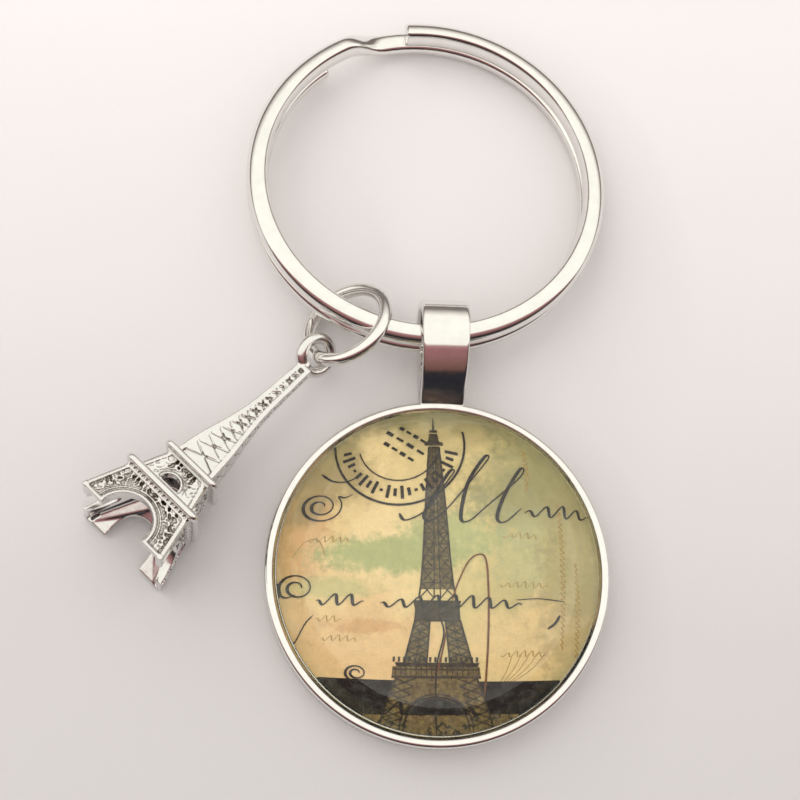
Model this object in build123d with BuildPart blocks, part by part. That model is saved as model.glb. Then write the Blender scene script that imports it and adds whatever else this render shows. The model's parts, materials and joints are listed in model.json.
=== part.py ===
"""Keychain: a split ring that carries a round glass pendant and a small cast lattice tower.

Frame: millimetres, +Z up, the keychain lying flat on a table at z = 0.
The origin is the centre of the pendant tray's flat back. +Y runs from the pendant to the
split ring, and +X runs to the right of the picture.
"""

from build123d import *
from math import asin, atan2, cos, hypot, pi, radians, sin
import os

# Tray and what it holds
TRAY_D = 27.0
TRAY_H = 2.2
TRAY_FLOOR = 0.8
POCKET_D = 25.3
TRAY_RIM_FILLET = 0.38
TRAY_BACK_FILLET = 0.25
FILM_D = 24.6
FILM_T = 0.1
PICTURE_D = 24.8
PICTURE_T = 0.2
GLASS_D = 25.0
GLASS_GIRDLE = 0.9
GLASS_DOME = 3.9

# Bail: a strap folded into a drop-shaped loop, brazed to the tray's rim
BAIL_X = 0.4
BAIL_TOP_W = 3.95
BAIL_FOOT_W = 3.5
BAIL_T = 0.75
BAIL_BORE_R = 2.1
BAIL_CENTRE_Y = 18.84
BAIL_CENTRE_Z = 2.95
BAIL_TOP_Y = 21.7
BAIL_TIP_Y = 15.6
BAIL_TIP_Z = 1.75
BAIL_TIP_R = 0.16
BAIL_TAIL_Y = 13.2
BAIL_TAIL_LOW_Z = 0.12
BAIL_TAIL_HIGH_Z = 2.14
BAIL_TAIL_T = 0.1
BAIL_EDGE_FILLET = 0.22

# Split ring: one flattened wire wound just under two turns
RING_D = 30.3
WIRE_W = 1.8
COIL_H = 1.37
COIL_GAP = 0.06
WIRE_FILLET = 0.5
RING_CENTRE = (-0.80, 32.78)
RING_LEAN = (0.030, 0.040)
UPPER_END_DEG = 97.0
STEP_LOW_DEG = 103.0
STEP_HIGH_DEG = 121.0
LOWER_END_DEG = 128.5
STEP_SECTIONS = 7

# Jump ring: round wire that links the charm to the split ring
JUMP_R = 3.55
JUMP_WIRE_D = 1.1
JUMP_CENTRE = (-7.43, 19.62, 2.89)
JUMP_TILT_DEG = 38.0
JUMP_TILT_TOWARD_DEG = 147.0
JUMP_SEAM_DEG = 90.0
JUMP_SEAM_GAP_DEG = 1.0
EYE_ON_JUMP_DEG = 167.6

# Lattice tower charm: one hollow casting, base to eye along its own axis
TOWER_HEADING_DEG = 46.6
TOWER_OFFSET = 0.22
TOWER_BASE_HALF = 4.12
BASE_SLANT = 0.6
LEG_OVERRUN = 1.2
EYE_FROM_BASE = 20.8
LEG_TOP = (3.45, 3.12)
LOWER_LEDGE = (3.45, 4.3, 3.55)
MIDDLE_FOOT_HALF = 2.85
MIDDLE_TOP = (6.5, 2.1)
UPPER_LEDGE = (6.5, 7.2, 2.45)
LEDGE_FILLET = 0.2
SPIRE_FOOT_HALF = 1.9
SPIRE = [(9.5, 1.55), (11.7, 1.14), (14.0, 0.82), (17.0, 0.68)]
SPIRE_TOP = (19.3, 0.63)
HOLLOW_FOOT_HALF = 3.6
HOLLOW_OVERRUN = 0.1
HOLLOW_MIDDLE = (3.6, 2.2)
HOLLOW_TOP = (6.6, 1.05)
ARCH_R = 2.1
ARCH_CENTRE = 0.25
WINDOW_R = 0.8
WINDOW_FOOT = 4.62
EYE_R = 1.42
EYE_WIRE_R = 0.48
NECK_R = 0.52
NECK_LOW = 18.6
NECK_HIGH = 19.7

# Cutting shapes run this far past what they cut
CUT_MARGIN = 1.0


def on_circle(radius, degrees, height=0.0):
    return (radius * cos(radians(degrees)), radius * sin(radians(degrees)), height)


os.makedirs("parts", exist_ok=True)


# Bezel tray: a shallow turned cup with a rounded rim
with BuildPart() as bezel_tray:
    with BuildSketch():
        Circle(TRAY_D / 2)
    extrude(amount=TRAY_H)
    with BuildSketch(Plane.XY.offset(TRAY_FLOOR)):
        Circle(POCKET_D / 2)
    extrude(amount=TRAY_H, mode=Mode.SUBTRACT)
    rim_edges = bezel_tray.faces().sort_by(Axis.Z)[-1].edges()
    fillet(rim_edges, radius=TRAY_RIM_FILLET)
    back_edge = bezel_tray.faces().sort_by(Axis.Z)[0].edges()
    fillet(back_edge, radius=TRAY_BACK_FILLET)

# The stack in the tray: film, printed picture, film, glass
with BuildPart() as back_film:
    with BuildSketch(Plane.XY.offset(TRAY_FLOOR)):
        Circle(FILM_D / 2)
    extrude(amount=FILM_T)

picture_z = TRAY_FLOOR + FILM_T
with BuildPart() as picture_disc:
    with BuildSketch(Plane.XY.offset(picture_z)):
        Circle(PICTURE_D / 2)
    extrude(amount=PICTURE_T)

front_film_z = picture_z + PICTURE_T
with BuildPart() as front_film:
    with BuildSketch(Plane.XY.offset(front_film_z)):
        Circle(FILM_D / 2)
    extrude(amount=FILM_T)

glass_z = front_film_z + FILM_T
girdle_z = glass_z + GLASS_GIRDLE
with BuildPart() as glass_cabochon:
    with BuildSketch(Plane.XZ):
        with BuildLine():
            Polyline((0, girdle_z + GLASS_DOME), (0, glass_z), (GLASS_D / 2, glass_z))
            Line((GLASS_D / 2, glass_z), (GLASS_D / 2, girdle_z))
            TangentArc(
                (0, girdle_z + GLASS_DOME),
                (GLASS_D / 2, girdle_z),
                tangent=(1, 0),
                tangent_from_first=True,
            )
        make_face()
    revolve(axis=Axis.Z)

# Bail: outer and inner drop shapes drawn in the YZ plane
with BuildPart() as bail:
    with BuildSketch(Plane.YZ.offset(BAIL_X - BAIL_TOP_W / 2)):
        with Locations((BAIL_CENTRE_Y, BAIL_CENTRE_Z)):
            Circle(BAIL_BORE_R + BAIL_T)
        tail_h = BAIL_TAIL_HIGH_Z - BAIL_TAIL_LOW_Z
        with Locations((BAIL_TAIL_Y, BAIL_TAIL_LOW_Z + tail_h / 2)):
            Rectangle(BAIL_TAIL_T, tail_h)
        make_hull()
    extrude(amount=BAIL_TOP_W)
    with BuildSketch():
        with BuildLine():
            Polyline(
                (BAIL_X - BAIL_FOOT_W / 2, BAIL_TAIL_Y),
                (BAIL_X - BAIL_TOP_W / 2, BAIL_TOP_Y),
                (BAIL_X + BAIL_TOP_W / 2, BAIL_TOP_Y),
                (BAIL_X + BAIL_FOOT_W / 2, BAIL_TAIL_Y),
                close=True,
            )
        make_face()
    extrude(amount=4 * BAIL_CENTRE_Z, both=True, mode=Mode.INTERSECT)
    outer_edges = bail.edges().filter_by(lambda edge: edge.center().Y > BAIL_TAIL_Y + CUT_MARGIN)
    fillet(outer_edges.filter_by(Axis.X, reverse=True), radius=BAIL_EDGE_FILLET)
    with BuildSketch(Plane.YZ.offset(BAIL_X - BAIL_TOP_W / 2)):
        with Locations((BAIL_CENTRE_Y, BAIL_CENTRE_Z)):
            Circle(BAIL_BORE_R)
        with Locations((BAIL_TIP_Y, BAIL_TIP_Z)):
            Circle(BAIL_TIP_R)
        make_hull()
    extrude(amount=BAIL_TOP_W, mode=Mode.SUBTRACT)
    with BuildSketch():
        Circle(TRAY_D / 2)
    extrude(amount=TRAY_H * 2, mode=Mode.SUBTRACT)

# Split ring: its plane leans a little, so it touches the table on the side away from the bail
lean = hypot(*RING_LEAN)
ring_foot_z = RING_D / 2 * lean
ring_normal = Vector(RING_LEAN[0], RING_LEAN[1], 1.0).normalized()
coil_pitch = COIL_H + COIL_GAP
ring_middle = Vector(*RING_CENTRE, ring_foot_z) + ring_normal * (COIL_H + coil_pitch) / 2
ring_plane = Plane(ring_middle, x_dir=(1, 0, -RING_LEAN[0]), z_dir=ring_normal)
ring_axis = Axis(ring_plane.origin, -ring_plane.z_dir)
wire_r = RING_D / 2 - WIRE_W / 2


def coil_section(degrees, height):
    """Plane across the wire, x outward, y along the ring's normal, facing clockwise travel."""
    centre = ring_plane.from_local_coords(on_circle(wire_r, degrees, height))
    outward = ring_plane.from_local_coords(on_circle(wire_r + 1, degrees, height)) - centre
    return Plane(centre, x_dir=outward, z_dir=outward.cross(ring_plane.z_dir))


def step_height(share):
    """Smooth fall from the upper coil to the lower one, share running from 0 to 1."""
    return coil_pitch / 2 * cos(pi * share)


with BuildPart() as split_ring:
    with BuildSketch(coil_section(UPPER_END_DEG, coil_pitch / 2)):
        RectangleRounded(WIRE_W, COIL_H, WIRE_FILLET)
    revolve(axis=ring_axis, revolution_arc=360 - (STEP_HIGH_DEG - UPPER_END_DEG))
    for i in range(STEP_SECTIONS):
        share = i / (STEP_SECTIONS - 1)
        turned = STEP_HIGH_DEG + share * (STEP_LOW_DEG - STEP_HIGH_DEG)
        with BuildSketch(coil_section(turned, step_height(share))):
            RectangleRounded(WIRE_W, COIL_H, WIRE_FILLET)
    loft()
    with BuildSketch(coil_section(STEP_LOW_DEG, -coil_pitch / 2)):
        RectangleRounded(WIRE_W, COIL_H, WIRE_FILLET)
    revolve(axis=ring_axis, revolution_arc=360 - (LOWER_END_DEG - STEP_LOW_DEG))

# Jump ring: a closed round-wire ring with its butt joint on the low side
tilt = radians(JUMP_TILT_DEG)
toward = radians(JUMP_TILT_TOWARD_DEG)
jump_normal = (sin(tilt) * cos(toward), sin(tilt) * sin(toward), cos(tilt))
jump_level_dir = (sin(toward), -cos(toward), 0)
jump_plane = Plane(JUMP_CENTRE, x_dir=jump_level_dir, z_dir=jump_normal)


def across_jump(degrees):
    """Plane across the jump ring's wire at an angle round the ring."""
    centre = jump_plane.from_local_coords(on_circle(JUMP_R, degrees))
    outward = jump_plane.from_local_coords(on_circle(JUMP_R + 1, degrees)) - centre
    return Plane(centre, x_dir=outward, z_dir=jump_plane.z_dir.cross(outward))


with BuildPart() as jump_ring:
    with BuildSketch(across_jump(JUMP_SEAM_DEG + JUMP_SEAM_GAP_DEG / 2)):
        Circle(JUMP_WIRE_D / 2)
    jump_axis = Axis(jump_plane.origin, jump_plane.z_dir)
    revolve(axis=jump_axis, revolution_arc=360 - JUMP_SEAM_GAP_DEG)

# Lattice tower: it lies on one face with its base feet on the table and its eye on the wire
eye_centre = across_jump(EYE_ON_JUMP_DEG).origin
heading = radians(TOWER_HEADING_DEG)
leg_flare = (TOWER_BASE_HALF - LEG_TOP[1]) / LEG_TOP[0]
low_foot_half = TOWER_BASE_HALF + BASE_SLANT * leg_flare
low_foot_reach = EYE_FROM_BASE + BASE_SLANT
feet_drop = atan2(low_foot_half, low_foot_reach)
feet_drop -= asin(eye_centre.Z / hypot(low_foot_reach, low_foot_half))
tower_dir = Vector(
    cos(heading) * cos(feet_drop), sin(heading) * cos(feet_drop), -sin(feet_drop)
)
across_dir = Vector(sin(heading), -cos(heading), 0)
up_dir = across_dir.cross(tower_dir)
tower_base = eye_centre - tower_dir * EYE_FROM_BASE + across_dir * TOWER_OFFSET
front_plane = Plane(tower_base, x_dir=across_dir, z_dir=across_dir.cross(tower_dir))
side_plane = Plane(tower_base, x_dir=up_dir, z_dir=up_dir.cross(tower_dir))
floor_plane = Plane(tower_base, x_dir=across_dir, z_dir=tower_dir)
eye_plane = Plane(eye_centre, x_dir=tower_dir, z_dir=across_dir + up_dir)


def half_outline(points):
    """Closed outline of the tower seen from one side, from half widths up its axis."""
    right = [(half, height) for height, half in points]
    left = [(-half, height) for height, half in points]
    if len(points) > 2:
        Spline(*right)
        Spline(*left)
    else:
        Line(*right)
        Line(*left)
    Line(left[0], right[0])
    Line(left[-1], right[-1])


slant_slope = BASE_SLANT / (TOWER_BASE_HALF + low_foot_half)
overrun_half = TOWER_BASE_HALF + LEG_OVERRUN * leg_flare
cut_half = low_foot_half + CUT_MARGIN
leg_points = [(-LEG_OVERRUN, overrun_half), LEG_TOP]
middle_points = [(LEG_TOP[0], MIDDLE_FOOT_HALF), MIDDLE_TOP]
spire_points = [(MIDDLE_TOP[0], SPIRE_FOOT_HALF), *SPIRE, SPIRE_TOP]
hollow_points = [(-LEG_OVERRUN - HOLLOW_OVERRUN, HOLLOW_FOOT_HALF), HOLLOW_MIDDLE, HOLLOW_TOP]

with BuildPart() as tower_charm:
    for plane, mode in ((front_plane, Mode.ADD), (side_plane, Mode.INTERSECT)):
        with BuildSketch(plane):
            for points in (leg_points, middle_points, spire_points):
                with BuildLine():
                    half_outline(points)
                make_face()
        extrude(amount=overrun_half, both=True, mode=mode)
    for low, high, half in (LOWER_LEDGE, UPPER_LEDGE):
        with BuildSketch(floor_plane.offset(low)):
            RectangleRounded(2 * half, 2 * half, LEDGE_FILLET)
        extrude(amount=high - low)
    with BuildSketch(floor_plane.offset(NECK_LOW)):
        Circle(NECK_R)
    extrude(amount=NECK_HIGH - NECK_LOW)
    with Locations(eye_plane):
        Torus(EYE_R, EYE_WIRE_R)

with BuildPart() as tower_hollow:
    for plane, mode in ((front_plane, Mode.ADD), (side_plane, Mode.INTERSECT)):
        with BuildSketch(plane):
            with BuildLine():
                half_outline(hollow_points)
            make_face()
        extrude(amount=HOLLOW_FOOT_HALF, both=True, mode=mode)

with tower_charm:
    add(tower_hollow.part, mode=Mode.SUBTRACT)
    # The base is cut on a slant, so the two feet on the table reach a little further
    with BuildSketch(side_plane):
        with BuildLine():
            Polyline(
                (cut_half, (cut_half - TOWER_BASE_HALF) * slant_slope),
                (-cut_half, (-cut_half - TOWER_BASE_HALF) * slant_slope),
                (-cut_half, -2 * TOWER_BASE_HALF),
                (cut_half, -2 * TOWER_BASE_HALF),
                close=True,
            )
        make_face()
    extrude(amount=2 * TOWER_BASE_HALF, both=True, mode=Mode.SUBTRACT)
    for plane in (front_plane, side_plane):
        with BuildSketch(plane):
            with Locations((0, ARCH_CENTRE)):
                Circle(ARCH_R)
            with Locations((0, -ARCH_R / 2 + ARCH_CENTRE)):
                Rectangle(2 * ARCH_R, ARCH_R)
            with Locations((0, WINDOW_FOOT)):
                Circle(WINDOW_R)
                window_sill = (Align.CENTER, Align.MAX)
                Rectangle(2 * WINDOW_R, 2 * WINDOW_R, align=window_sill, mode=Mode.SUBTRACT)
        extrude(amount=2 * TOWER_BASE_HALF, both=True, mode=Mode.SUBTRACT)

pieces = {
    "bezel_tray": bezel_tray,
    "back_film": back_film,
    "picture_disc": picture_disc,
    "front_film": front_film,
    "glass_cabochon": glass_cabochon,
    "bail": bail,
    "split_ring": split_ring,
    "jump_ring": jump_ring,
    "tower_charm": tower_charm,
}
for label, piece in pieces.items():
    piece.part.label = label
    export_step(piece.part, f"parts/{label}.step")
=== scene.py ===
import json
import math
import random
from itertools import pairwise

import bmesh
import bpy
from mathutils import Matrix, Vector

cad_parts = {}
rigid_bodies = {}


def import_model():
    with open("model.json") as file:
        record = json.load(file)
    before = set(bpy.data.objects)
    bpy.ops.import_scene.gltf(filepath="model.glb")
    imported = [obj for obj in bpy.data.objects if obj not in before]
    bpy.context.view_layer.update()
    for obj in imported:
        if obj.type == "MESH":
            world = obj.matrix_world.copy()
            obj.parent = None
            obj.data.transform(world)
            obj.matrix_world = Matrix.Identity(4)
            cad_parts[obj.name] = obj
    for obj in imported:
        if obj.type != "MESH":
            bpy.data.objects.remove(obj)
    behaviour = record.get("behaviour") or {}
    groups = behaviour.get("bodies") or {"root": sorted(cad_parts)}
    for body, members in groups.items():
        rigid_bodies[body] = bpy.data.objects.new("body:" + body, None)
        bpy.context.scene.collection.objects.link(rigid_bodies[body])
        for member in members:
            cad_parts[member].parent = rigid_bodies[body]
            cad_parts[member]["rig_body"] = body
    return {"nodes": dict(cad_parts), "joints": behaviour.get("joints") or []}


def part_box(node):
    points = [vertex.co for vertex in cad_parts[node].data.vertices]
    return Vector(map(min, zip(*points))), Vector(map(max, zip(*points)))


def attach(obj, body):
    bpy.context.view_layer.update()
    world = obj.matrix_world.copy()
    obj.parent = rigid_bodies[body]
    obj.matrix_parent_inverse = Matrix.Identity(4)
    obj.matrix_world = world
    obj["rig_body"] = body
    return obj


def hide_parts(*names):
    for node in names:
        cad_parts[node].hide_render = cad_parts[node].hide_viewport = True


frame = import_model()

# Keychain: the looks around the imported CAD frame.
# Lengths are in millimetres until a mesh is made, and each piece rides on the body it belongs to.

MM = 0.001
SEED = 7
X_DIR = Vector((1, 0, 0))
Y_DIR = Vector((0, 1, 0))
Z_DIR = Vector((0, 0, 1))
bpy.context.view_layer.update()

for thing in list(bpy.data.objects):
    if "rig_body" not in thing and not thing.name.startswith("body:"):
        bpy.data.objects.remove(thing)

JOINTS = {joint["name"]: joint for joint in frame["joints"]}


def box_mm(node):
    low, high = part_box(node)
    return low / MM, high / MM


def joint_mm(name):
    """A joint's point in millimetres and its unit axis."""
    joint = JOINTS[name]
    return Vector(joint["pos_m"]) / MM, Vector(joint["axis"]).normalized()


# ---------------------------------------------------------------- mesh helpers

def link(name, data):
    thing = bpy.data.objects.new(name, data)
    bpy.context.scene.collection.objects.link(thing)
    return thing


def new_mesh(name, verts, faces):
    """A mesh whose faces all look outwards."""
    mesh = bpy.data.meshes.new(name)
    mesh.from_pydata([tuple(v) for v in verts], [], faces)
    mesh.update()
    bm = bmesh.new()
    bm.from_mesh(mesh)
    bmesh.ops.recalc_face_normals(bm, faces=bm.faces)
    bm.to_mesh(mesh)
    bm.free()
    return mesh


def make_piece(name, skin, material, body, node=None, smooth_deg=40.0):
    """A piece from millimetre points and faces, riding on a body; node is the CAD node it stands for."""
    verts, faces = skin
    piece = link(name, new_mesh(name, [Vector(v) * MM for v in verts], faces))
    finish_piece(piece, material, body, node, smooth_deg)
    return piece


def finish_piece(piece, material, body, node, smooth_deg):
    piece.data.materials.clear()
    piece.data.materials.append(material)
    piece.data.shade_smooth()
    if smooth_deg:
        piece.data.set_sharp_from_angle(angle=math.radians(smooth_deg))
    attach(piece, body)
    if node:
        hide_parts(node)


def apply_modifiers(piece):
    """Bakes a piece's modifiers into its mesh."""
    depsgraph = bpy.context.evaluated_depsgraph_get()
    mesh = bpy.data.meshes.new_from_object(piece.evaluated_get(depsgraph))
    piece.modifiers.clear()
    piece.data = mesh


def rounded_section(width, height, radius, corner_points=6):
    """Points round a rounded rectangle, x across and y up."""
    points = []
    corners = ((1, 1, 0), (-1, 1, 90), (-1, -1, 180), (1, -1, 270))
    for side_x, side_y, start in corners:
        cx = side_x * (width / 2 - radius)
        cy = side_y * (height / 2 - radius)
        points += arc_points(cx, cy, radius, start, start + 90, corner_points)
    return points


def soft_section(width, height, power, count):
    """Points round a superellipse, between an ellipse (power 2) and a rectangle."""
    points = []
    for i in range(count):
        turn = 2 * math.pi * i / count
        c, q = math.cos(turn), math.sin(turn)
        x = math.copysign(abs(c) ** (2 / power), c) * width / 2
        y = math.copysign(abs(q) ** (2 / power), q) * height / 2
        points.append((x, y))
    return points


SECTION_STEPS = 48
CREST_LEAN = 0.45
DOME_SHARE = 0.74
FOOT_POWER = 0.8


def crowned_section(width, height):
    """Coil section with flattish foot and a domed top whose crest leans to the inside."""
    crest = -CREST_LEAN * width / 2
    domed = DOME_SHARE * height
    points = []
    for i in range(SECTION_STEPS):
        turn = 2 * math.pi * i / SECTION_STEPS
        c, q = math.cos(turn), math.sin(turn)
        reach = width / 2 - crest if c > 0 else width / 2 + crest
        if q >= 0:
            points.append((crest + reach * c, domed * q))
        else:
            x = math.copysign(abs(c) ** FOOT_POWER, c)
            points.append((crest + reach * x, -abs(q) ** FOOT_POWER * height / 2))
    return points


def tube_faces(count, size, start=0, closed=True):
    """Faces between count rings of size verts from start on, back to the first ring if closed."""
    faces = []
    for i in range(count if closed else count - 1):
        near = start + i * size
        far = start + ((i + 1) % count) * size
        for j in range(size):
            k = (j + 1) % size
            faces.append((near + j, near + k, far + k, far + j))
    return faces


def capped_faces(count, size, start=0):
    """Faces of an open tube with a cap at each end."""
    last = start + (count - 1) * size
    faces = tube_faces(count, size, start, False)
    faces.append(tuple(range(start + size - 1, start - 1, -1)))
    faces.append(tuple(range(last, last + size)))
    return faces


def sweep(stations, section):
    """Verts and faces of a section carried along stations (centre, x axis, y axis, scale)."""
    verts = []
    for centre, x_axis, y_axis, scale in stations:
        for x, y in section:
            verts.append(centre + x_axis * x * scale + y_axis * y * scale)
    return verts, capped_faces(len(stations), len(section))


def lathe(profile, steps=192):
    """Verts and faces of a (radius, z) profile turned about Z, which starts and ends at radius 0."""
    rings = profile[1:-1]
    verts = []
    for i in range(steps):
        turn = 2 * math.pi * i / steps
        for radius, z in rings:
            verts.append(Vector((radius * math.cos(turn), radius * math.sin(turn), z)))
    count = len(rings)
    middle = len(verts)
    verts += [Vector((0, 0, profile[0][1])), Vector((0, 0, profile[-1][1]))]
    faces = []
    for i in range(steps):
        near = i * count
        far = ((i + 1) % steps) * count
        for j in range(count - 1):
            faces.append((near + j, far + j, far + j + 1, near + j + 1))
        faces.append((near, far, middle))
        faces.append((near + count - 1, far + count - 1, middle + 1))
    return verts, faces


def arc_points(cx, cy, radius, start, end, steps):
    """Points along an arc, angles in degrees."""
    return [polar((cx, cy), radius, start + (end - start) * i / steps) for i in range(steps + 1)]


def circle(centre, first, second, radius, steps):
    """Points round a circle that lies in the plane of two unit directions."""
    turns = [2 * math.pi * k / steps for k in range(steps)]
    return [centre + first * math.cos(turn) * radius + second * math.sin(turn) * radius for turn in turns]


def polar(centre, radius, degrees):
    turn = math.radians(degrees)
    return (centre[0] + radius * math.cos(turn), centre[1] + radius * math.sin(turn))


# ---------------------------------------------------------------- materials

def new_material(name):
    material = bpy.data.materials.new(name)
    material.use_nodes = True
    tree = material.node_tree
    return material, tree, tree.nodes["Principled BSDF"]


def add(tree, kind, **values):
    """A new shader node with values on its inputs."""
    node = tree.nodes.new("ShaderNode" + kind)
    fill(tree, node, **values)
    return node


def fill(tree, node, **values):
    """Sets or links the inputs of the given names, with _ for each space."""
    for name, value in values.items():
        feed(tree, node, name.replace("_", " "), value)


def feed(tree, node, name, value):
    """Sets a node's input, or links it if value is a socket."""
    if isinstance(value, bpy.types.NodeSocket):
        tree.links.new(value, node.inputs[name])
    else:
        node.inputs[name].default_value = value


def split_coords(tree, kind="Object"):
    """The x, y and z sockets of a point's coordinates."""
    coords = add(tree, "TexCoord")
    return add(tree, "SeparateXYZ", Vector=coords.outputs[kind]).outputs


def bump(tree, height, full_height, under=None):
    """The normal socket of a bump, full_height in metres, over an earlier bump's normal if given."""
    node = add(tree, "Bump", Height=height, Distance=full_height)
    if under:
        feed(tree, node, "Normal", under)
    return node.outputs["Normal"]


def calc(tree, operation, *values):
    """A math node's output; each value is a socket or a number."""
    node = add(tree, "Math")
    node.operation = operation
    for i, value in enumerate(values):
        feed(tree, node, i, value)
    return node.outputs[0]


def blend_colour(tree, share, first, second, mode="MIX"):
    """The colour socket between two colours, each a socket or a tuple."""
    node = add(tree, "Mix")
    node.data_type = "RGBA"
    node.blend_type = mode
    for name, value in (("Factor", share), ("A", first), ("B", second)):
        feed(tree, node, name, (*value, 1) if isinstance(value, tuple) else value)
    return node.outputs["Result"]


def rise(tree, value, low, high):
    """0 below low, 1 above high, smooth between."""
    node = add(tree, "MapRange", Value=value, From_Min=low, From_Max=high)
    node.interpolation_type = "SMOOTHSTEP"
    return node.outputs["Result"]


def ramp(tree, source, stops):
    """A colour ramp fed by source, from (place, colour or grey) stops."""
    node = add(tree, "ValToRGB", Fac=source)
    elements = node.color_ramp.elements
    while len(elements) < len(stops):
        elements.new(0.5)
    for element, (place, colour) in zip(elements, stops):
        element.position = place
        grey = isinstance(colour, (int, float))
        element.color = (colour, colour, colour, 1) if grey else (*colour, 1)
    return node.outputs["Color"]


def noise(tree, scale, detail=3.0, roughness=0.55):
    """Noise on the object's own metre coordinates; scale is in repeats per metre."""
    coords = add(tree, "TexCoord").outputs["Object"]
    node = add(tree, "TexNoise", Vector=coords, Scale=scale, Detail=detail, Roughness=roughness)
    return node.outputs["Fac"]


def plated_metal(name, colour, rough_low, rough_high, wave_height, grain_height):
    """Polished plate: faint cloudiness, soft waviness and fine grain."""
    material, tree, shader = new_material(name)
    dull = tuple(c * 0.93 for c in colour)
    cloud = ramp(tree, noise(tree, 900, 4), [(0.3, dull), (0.7, colour)])
    smear = ramp(tree, noise(tree, 2600, 5, 0.6), [(0.35, rough_low), (0.7, rough_high)])
    wave = bump(tree, noise(tree, 500, 2), wave_height)
    grain = bump(tree, noise(tree, 14000, 2), grain_height, wave)
    fill(tree, shader, Base_Color=cloud, Metallic=1.0, Roughness=smear, Normal=grain)
    return material


def paint_groove_shade(material, dark, reach):
    """Painted shade: darkens the plate's colour in grooves and corners no wider than reach metres, where
    shade falls.
    """
    tree = material.node_tree
    shader = tree.nodes["Principled BSDF"]
    plain = shader.inputs["Base Color"].links[0].from_socket
    hollow = add(tree, "AmbientOcclusion", Distance=reach)
    hollow.samples = 12
    share = ramp(tree, hollow.outputs["AO"], [(0.42, 0.0), (0.86, 1.0)])
    feed(tree, shader, "Base Color", blend_colour(tree, share, dark, plain))


NICKEL = (0.90, 0.885, 0.86)
SILVER = (0.83, 0.815, 0.80)
# Colour of the painted shade laid into the charm's grooves and corners.
GROOVE_SHADE = (0.10, 0.075, 0.045)
ring_metal = plated_metal("ring_plate_metal", NICKEL, 0.06, 0.13, 0.000008, 0.0000006)
cast_metal = plated_metal("cast_plate_metal", NICKEL, 0.06, 0.14, 0.000012, 0.000001)
charm_metal = plated_metal("charm_plate_metal", SILVER, 0.10, 0.20, 0.00002, 0.000002)
# Painted shade in the charm's grooves and corners, darkest where ambient occlusion finds them most enclosed.
paint_groove_shade(charm_metal, GROOVE_SHADE, 0.00032)

def clear_glass():
    """Clear glass; shadow and diffuse rays pass straight through it."""
    material, tree, shader = new_material("cabochon_glass")
    smear = ramp(tree, noise(tree, 700, 4), [(0.4, 0.0), (0.8, 0.02)])
    fill(tree, shader, Base_Color=(0.99, 1.0, 0.995, 1), Transmission_Weight=1.0, IOR=1.46)
    fill(tree, shader, Specular_IOR_Level=0.22, Roughness=smear)
    path = add(tree, "LightPath").outputs
    either = calc(tree, "MAXIMUM", path["Is Shadow Ray"], path["Is Diffuse Ray"])
    open_way = add(tree, "BsdfTransparent", Color=(0.97, 0.98, 0.97, 1))
    mix_surface(tree, either, shader, open_way)
    return material


def mix_surface(tree, share, first, second):
    """Makes the surface from two shaders."""
    mix = add(tree, "MixShader", Fac=share)
    tree.links.new(first.outputs["BSDF"], mix.inputs[1])
    tree.links.new(second.outputs["BSDF"], mix.inputs[2])
    feed(tree, tree.nodes["Material Output"], "Surface", mix.outputs[0])


def clear_film():
    """Adhesive film: nearly invisible, with a faint gloss and small cloudy spots."""
    material, tree, shader = new_material("clear_film")
    fill(tree, shader, Base_Color=(0.95, 0.95, 0.92, 1), Roughness=0.12)
    share = ramp(tree, noise(tree, 1500, 3), [(0.5, 0.01), (0.8, 0.04)])
    mix_surface(tree, share, add(tree, "BsdfTransparent"), shader)
    return material


glass_material = clear_glass()
film_material = clear_film()


# ---------------------------------------------------------------- split ring

def wire_places(total, steps, ends):
    """(turned, scale) along a cut wire; ends holds the (turned, scale) points that round its start."""
    ease = ends[-1][0]
    places = ends + [(ease + (total - 2 * ease) * i / steps, 1.0) for i in range(1, steps)]
    return places + [(total - turned, scale) for turned, scale in reversed(ends)]


def build_split_ring():
    centre, normal = joint_mm("link_travel")
    low, high = box_mm("split_ring")
    outer_r = max(high.x - low.x, high.y - low.y) / 2
    lean_high = outer_r * math.hypot(normal.x, normal.y)
    stack = (high.z - low.z - 2 * lean_high) / normal.z
    gap = 0.06
    coil_h = (stack - gap) / 2
    width = 1.8
    wire_r = outer_r - width / 2
    x_dir = Vector((1, 0, -normal.x / normal.z)).normalized()
    y_dir = normal.cross(x_dir)
    drop = coil_h + gap
    top_end, low_end = 97.0, 128.5
    step_high, step_low = 120.0, 104.5
    total = 360 + (360 - (low_end - top_end))
    stations = []
    crowns = []
    for turned, scale in wire_places(total, 720, [(0.0, 0.86), (0.35, 0.95), (0.8, 1.0)]):
        angle = top_end - turned
        position = angle % 360
        if turned < 360 - (step_high - top_end):
            height = drop / 2
        elif turned > 360 - (step_low - top_end):
            height = -drop / 2
        else:
            share = (step_high - position) / (step_high - step_low)
            height = drop * (0.5 - share * share * (3 - 2 * share))
        turn = math.radians(angle)
        outward = x_dir * math.cos(turn) + y_dir * math.sin(turn)
        spot = centre + outward * wire_r + normal * height
        stations.append((spot, outward, normal, scale))
        crowns.append(0.5 + height / drop)
    verts, faces = sweep(stations, soft_section(width, coil_h, 2.25, SECTION_STEPS))
    domed = sweep(stations, crowned_section(width, coil_h))[0]
    for i, vert in enumerate(domed):
        verts[i] = verts[i].lerp(vert, crowns[i // SECTION_STEPS])
    make_piece("split_ring_wire", (verts, faces), ring_metal, "key_ring", "split_ring")


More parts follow.
